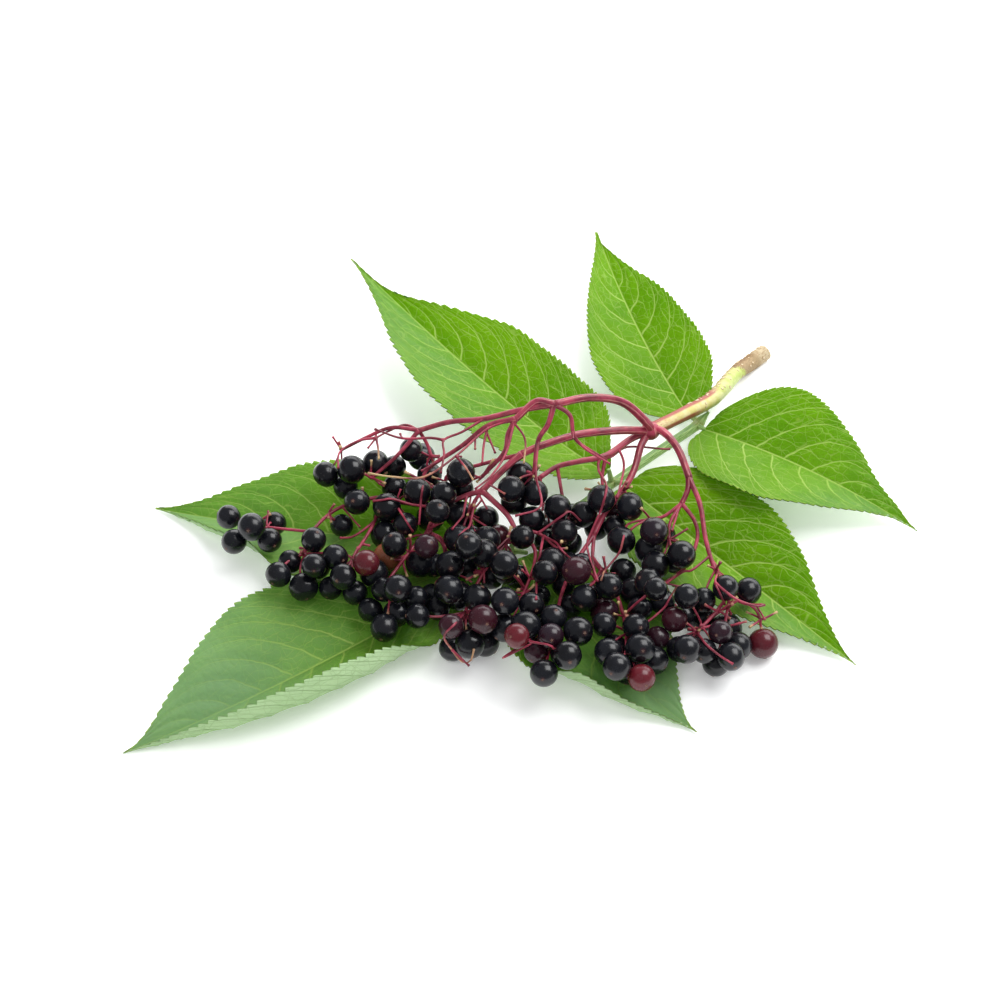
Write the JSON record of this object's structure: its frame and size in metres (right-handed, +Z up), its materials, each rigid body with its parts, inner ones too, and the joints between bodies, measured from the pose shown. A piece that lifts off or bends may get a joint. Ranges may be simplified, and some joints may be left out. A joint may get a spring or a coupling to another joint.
{
  "type": "elderberry cluster",
  "caption": "Fruiting head of black elder: small dark berries on branching red stalks, with its twig and its leaf of toothed leaflets, lying on a surface.",
  "frame": {"origin": "on the surface it lies on, below the middle of its outline as seen from above", "axes": "+Z up; the leaf's last leaflet points towards -X and -Y, and the twig's cut end lies towards +X and +Y"},
  "size_m": [0.1968, 0.18, 0.0361],
  "materials": {
    "twig": "satin",
    "leaf_stalk": "satin",
    "leaf": "satin",
    "fruit": "satin"
  },
  "bodies": {
    "root": {"twig": "twig", "leaf_stalk": "leaf_stalk", "leaflet_1_left": "leaf", "leaflet_1_right": "leaf", "leaflet_2_left": "leaf", "leaflet_2_right": "leaf", "leaflet_3_left": "leaf", "leaflet_3_right": "leaf", "leaflet_end": "leaf", "ray_tall": "fruit", "ray_left": "fruit", "ray_middle": "fruit", "ray_front": "fruit", "ray_right": "fruit"}
  },
  "joints": []
}
